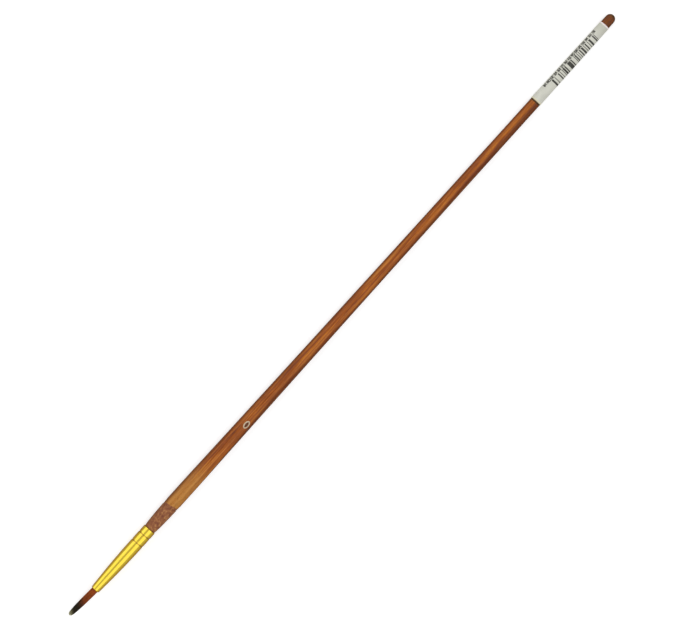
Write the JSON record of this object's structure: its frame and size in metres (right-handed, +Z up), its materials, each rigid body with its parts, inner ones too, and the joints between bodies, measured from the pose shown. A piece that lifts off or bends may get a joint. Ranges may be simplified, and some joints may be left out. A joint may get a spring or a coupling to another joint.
{
  "type": "fine detail brush",
  "caption": "Long slim brush with a turned wooden handle, a tapered gold ferrule and a short round tuft of hair, for fine painting on models.",
  "frame": {"origin": "half way along the brush, on the surface it lies on, straight under its axis", "axes": "+X along the brush from the hair to the tail, +Z up, +Y across"},
  "size_m": [0.3006, 0.0056, 0.0057],
  "materials": {
    "varnished_wood": "reddish brown stain under gloss varnish, bare and matt next to the ferrule",
    "gold_metal": "bright gold anodised",
    "hair": "fine straight filaments, brown, then near black, then a pale tip",
    "thread": "matt cotton thread",
    "glue": "clear amber epoxy",
    "label_paper": "matt paper with black print",
    "numeral_ink": "matt cream ink"
  },
  "bodies": {
    "brush_body": {"handle": "varnished_wood", "ferrule": "gold_metal", "hair_root": "hair", "binding_thread": "thread", "root_glue_plug": "glue", "tenon_glue": "glue", "label": "label_paper", "size_numeral": "numeral_ink"},
    "tuft": {"hair_tuft": "hair"}
  },
  "joints": [
    {"name": "tuft_flex", "type": "hinge", "parent": "brush_body", "child": "tuft", "pos_m": [-0.13715, 0, 0.00284], "axis": [0, 0, 1], "range_deg": [-45, 45], "stiffness_Nm_per_rad": 0.0005}
  ]
}
